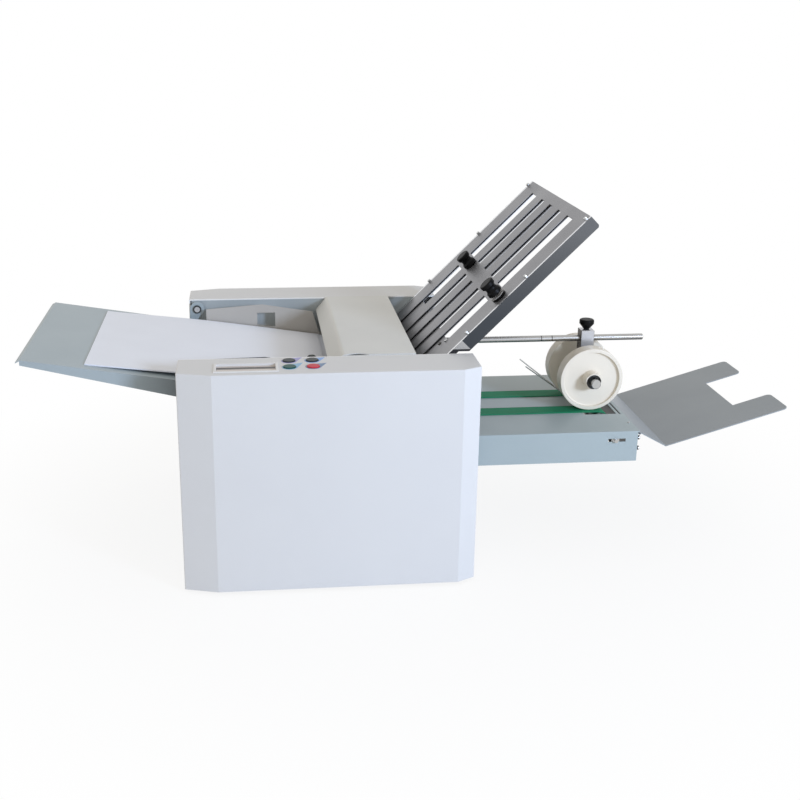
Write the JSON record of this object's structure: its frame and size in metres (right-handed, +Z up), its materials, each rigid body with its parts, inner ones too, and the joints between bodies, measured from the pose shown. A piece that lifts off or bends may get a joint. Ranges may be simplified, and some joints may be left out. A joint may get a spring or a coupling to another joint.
{
  "type": "paper folding machine",
  "caption": "Desk paper folder: sheet infeed tray between two covers, slotted fold plate under a hood, belt conveyor with pressing wheels, hinged delivery tray.",
  "frame": {"origin": "centre of the whole machine in plan, on the plane the feet stand on", "axes": "+X the way the paper runs, from the infeed tray to the delivery tray; -Y the operator side with the control panel; +Z up"},
  "size_m": [1.1562, 0.503, 0.5252],
  "materials": {
    "cover_plastic": "satin",
    "grey_sheet": "satin",
    "hood_sheet": "satin",
    "guide_sheet": "satin",
    "frame_paint": "satin",
    "stainless": "brushed",
    "conveyor_steel": "satin",
    "tray_steel": "satin",
    "bright_steel": "polished",
    "zinc_steel": "satin",
    "block_aluminium": "satin",
    "brass_bush": "satin",
    "black_plastic": "satin",
    "bezel_plastic": "satin",
    "window_glass": "polished",
    "board_green": "satin",
    "button_black": "satin",
    "button_green": "satin",
    "button_red": "satin",
    "wheel_plastic": "satin",
    "belt_green": "matte",
    "black_rubber": "matte",
    "motor_paint": "satin"
  },
  "bodies": {
    "root": {"base_pan": "frame_paint", "rubber_feet": "black_rubber", "front_side_plate": "frame_paint", "rear_side_plate": "frame_paint", "tie_rods": "zinc_steel", "front_cover": "cover_plastic", "rear_cover": "cover_plastic", "display_bezel": "bezel_plastic", "display_window": "window_glass", "control_board": "board_green", "power_inlet": "black_plastic", "power_switch_frame": "black_plastic", "infeed_tray": "grey_sheet", "infeed_pivot_bolts": "zinc_steel", "feed_table": "grey_sheet", "separator_pad": "black_rubber", "shaft_bushes": "brass_bush", "motor": "motor_paint", "timing_belts": "black_rubber", "upper_fold_sheet": "stainless", "lower_fold_sheet": "stainless", "fold_plate_studs": "zinc_steel", "fold_plate_brackets": "stainless", "lower_fold_plate": "stainless", "hood_pins": "zinc_steel", "conveyor_bed": "conveyor_steel", "conveyor_supports": "frame_paint", "conveyor_belts": "belt_green", "tension_bolts": "zinc_steel", "rod_crossbar": "block_aluminium", "wheel_rod": "bright_steel"},
    "hood": {"hood": "hood_sheet"},
    "count_button": {"count_button": "button_black"},
    "speed_button": {"speed_button": "button_black"},
    "start_button": {"start_button": "button_green"},
    "stop_button": {"stop_button": "button_red"},
    "power_rocker": {"power_rocker": "black_plastic"},
    "rear_guide": {"rear_guide": "guide_sheet"},
    "front_guide": {"front_guide": "guide_sheet"},
    "guide_lock_knob": {"guide_lock_knob": "black_plastic"},
    "fold_roller_1": {"fold_roller_1": "black_rubber"},
    "fold_roller_2": {"fold_roller_2": "black_rubber"},
    "fold_roller_3": {"fold_roller_3": "black_rubber"},
    "fold_roller_4": {"fold_roller_4": "black_rubber"},
    "feed_roller": {"feed_roller": "black_rubber"},
    "idler_gear": {"idler_gear": "zinc_steel"},
    "motor_pulley": {"motor_pulley": "zinc_steel"},
    "stop_bar": {"stop_bar": "zinc_steel"},
    "rear_stop_knob": {"rear_stop_knob": "black_plastic"},
    "front_stop_knob": {"front_stop_knob": "black_plastic"},
    "drive_belt_roller": {"drive_belt_roller": "zinc_steel"},
    "tail_belt_roller": {"tail_belt_roller": "zinc_steel"},
    "clamp_block": {"clamp_block": "block_aluminium"},
    "clamp_knob": {"clamp_knob": "black_plastic"},
    "front_wheel": {"front_wheel": "wheel_plastic"},
    "rear_wheel": {"rear_wheel": "wheel_plastic"},
    "delivery_tray": {"delivery_tray": "tray_steel"},
    "swing_arm": {"swing_arm": "zinc_steel", "guide_wires": "zinc_steel", "wheel_axle": "zinc_steel"}
  },
  "joints": [
    {"name": "hood_hinge", "type": "hinge", "parent": "root", "child": "hood", "pos_m": [-0.12852, 0, 0.3175], "axis": [0, -1, 0], "range_deg": [0, 100]},
    {"name": "count_button_press", "type": "slide", "parent": "root", "child": "count_button", "axis": [0, 0, -1], "range_m": [0, 0.002], "stiffness_N_per_m": 400, "springref_m": -0.001},
    {"name": "speed_button_press", "type": "slide", "parent": "root", "child": "speed_button", "axis": [0, 0, -1], "range_m": [0, 0.002], "stiffness_N_per_m": 400, "springref_m": -0.001},
    {"name": "start_button_press", "type": "slide", "parent": "root", "child": "start_button", "axis": [0, 0, -1], "range_m": [0, 0.002], "stiffness_N_per_m": 400, "springref_m": -0.001},
    {"name": "stop_button_press", "type": "slide", "parent": "root", "child": "stop_button", "axis": [0, 0, -1], "range_m": [0, 0.002], "stiffness_N_per_m": 400, "springref_m": -0.001},
    {"name": "power_rocker_tip", "type": "hinge", "parent": "root", "child": "power_rocker", "pos_m": [-0.22652, 0.2455, 0.06], "axis": [0, 0, 1], "range_deg": [0, 20]},
    {"name": "rear_guide_slide", "type": "slide", "parent": "root", "child": "rear_guide", "axis": [0, 1, 0], "range_m": [-0.09, 0]},
    {"name": "front_guide_slide", "type": "slide", "parent": "root", "child": "front_guide", "axis": [0, 1, 0], "range_m": [0, 0.09]},
    {"name": "guide_lock_turn", "type": "hinge", "parent": "front_guide", "child": "guide_lock_knob", "pos_m": [-0.16652, -0.163, 0.3198], "axis": [0, 0, 1], "range_deg": [0, 180]},
    {"name": "fold_roller_2_turn", "type": "hinge", "parent": "root", "child": "fold_roller_2", "pos_m": [-0.03597, 0, 0.23634], "axis": [0, 1, 0], "continuous": true},
    {"name": "fold_roller_1_turn", "type": "hinge", "parent": "root", "child": "fold_roller_1", "pos_m": [-0.06107, 0, 0.26158], "axis": [0, 1, 0], "continuous": true},
    {"name": "fold_roller_3_turn", "type": "hinge", "parent": "root", "child": "fold_roller_3", "pos_m": [-0.00251, 0, 0.22416], "axis": [0, 1, 0], "continuous": true},
    {"name": "fold_roller_4_turn", "type": "hinge", "parent": "root", "child": "fold_roller_4", "pos_m": [-0.0087, 0, 0.1891], "axis": [0, 1, 0], "continuous": true},
    {"name": "feed_roller_turn", "type": "hinge", "parent": "root", "child": "feed_roller", "pos_m": [-0.11952, 0, 0.28367], "axis": [0, 1, 0], "continuous": true},
    {"name": "idler_gear_turn", "type": "hinge", "parent": "root", "child": "idler_gear", "pos_m": [-0.09633, 0, 0.25666], "axis": [0, 1, 0], "continuous": true},
    {"name": "motor_turn", "type": "hinge", "parent": "root", "child": "motor_pulley", "pos_m": [-0.22452, 0, 0.096], "axis": [0, 1, 0], "continuous": true},
    {"name": "drive_belt_roller_turn", "type": "hinge", "parent": "root", "child": "drive_belt_roller", "pos_m": [0.03348, 0, 0.1764], "axis": [0, 1, 0], "continuous": true},
    {"name": "tail_belt_roller_turn", "type": "hinge", "parent": "root", "child": "tail_belt_roller", "pos_m": [0.29748, 0, 0.1764], "axis": [0, 1, 0], "continuous": true},
    {"name": "stop_slide", "type": "slide", "parent": "root", "child": "stop_bar", "axis": [-0.709, 0, -0.7053], "range_m": [-0.005, 0.005]},
    {"name": "rear_stop_turn", "type": "hinge", "parent": "stop_bar", "child": "rear_stop_knob", "pos_m": [0.10596, 0.07, 0.40531], "axis": [-0.7053, 0, 0.709], "continuous": true},
    {"name": "front_stop_turn", "type": "hinge", "parent": "stop_bar", "child": "front_stop_knob", "pos_m": [0.10596, -0.147, 0.40531], "axis": [-0.7053, 0, 0.709], "continuous": true},
    {"name": "clamp_slide", "type": "slide", "parent": "root", "child": "clamp_block", "axis": [1, 0, 0], "range_m": [-0.1, 0.03]},
    {"name": "clamp_turn", "type": "hinge", "parent": "clamp_block", "child": "clamp_knob", "pos_m": [0.28398, 0, 0.313], "axis": [0, 0, 1], "continuous": true},
    {"name": "arm_swing", "type": "hinge", "parent": "clamp_block", "child": "swing_arm", "pos_m": [0.27848, 0, 0.283], "axis": [0, -1, 0], "range_deg": [0, 35]},
    {"name": "front_wheel_turn", "type": "hinge", "parent": "swing_arm", "child": "front_wheel", "pos_m": [0.28348, 0, 0.24285], "axis": [0, 1, 0], "continuous": true},
    {"name": "rear_wheel_turn", "type": "hinge", "parent": "swing_arm", "child": "rear_wheel", "pos_m": [0.28348, 0, 0.24285], "axis": [0, 1, 0], "continuous": true},
    {"name": "delivery_tray_hinge", "type": "hinge", "parent": "root", "child": "delivery_tray", "pos_m": [0.33448, 0, 0.1864], "axis": [0, -1, 0], "range_deg": [0, 60]}
  ],
  "couplings": [
    {"joint": "fold_roller_1_turn", "follows": "fold_roller_2_turn", "ratio": -1},
    {"joint": "fold_roller_3_turn", "follows": "fold_roller_2_turn", "ratio": -1},
    {"joint": "fold_roller_4_turn", "follows": "fold_roller_2_turn", "ratio": 1},
    {"joint": "idler_gear_turn", "follows": "fold_roller_2_turn", "ratio": 1},
    {"joint": "feed_roller_turn", "follows": "fold_roller_2_turn", "ratio": -1},
    {"joint": "drive_belt_roller_turn", "follows": "fold_roller_2_turn", "ratio": 1},
    {"joint": "tail_belt_roller_turn", "follows": "fold_roller_2_turn", "ratio": 1},
    {"joint": "motor_turn", "follows": "fold_roller_2_turn", "ratio": 2},
    {"joint": "front_guide_slide", "follows": "rear_guide_slide", "ratio": -1}
  ]
}
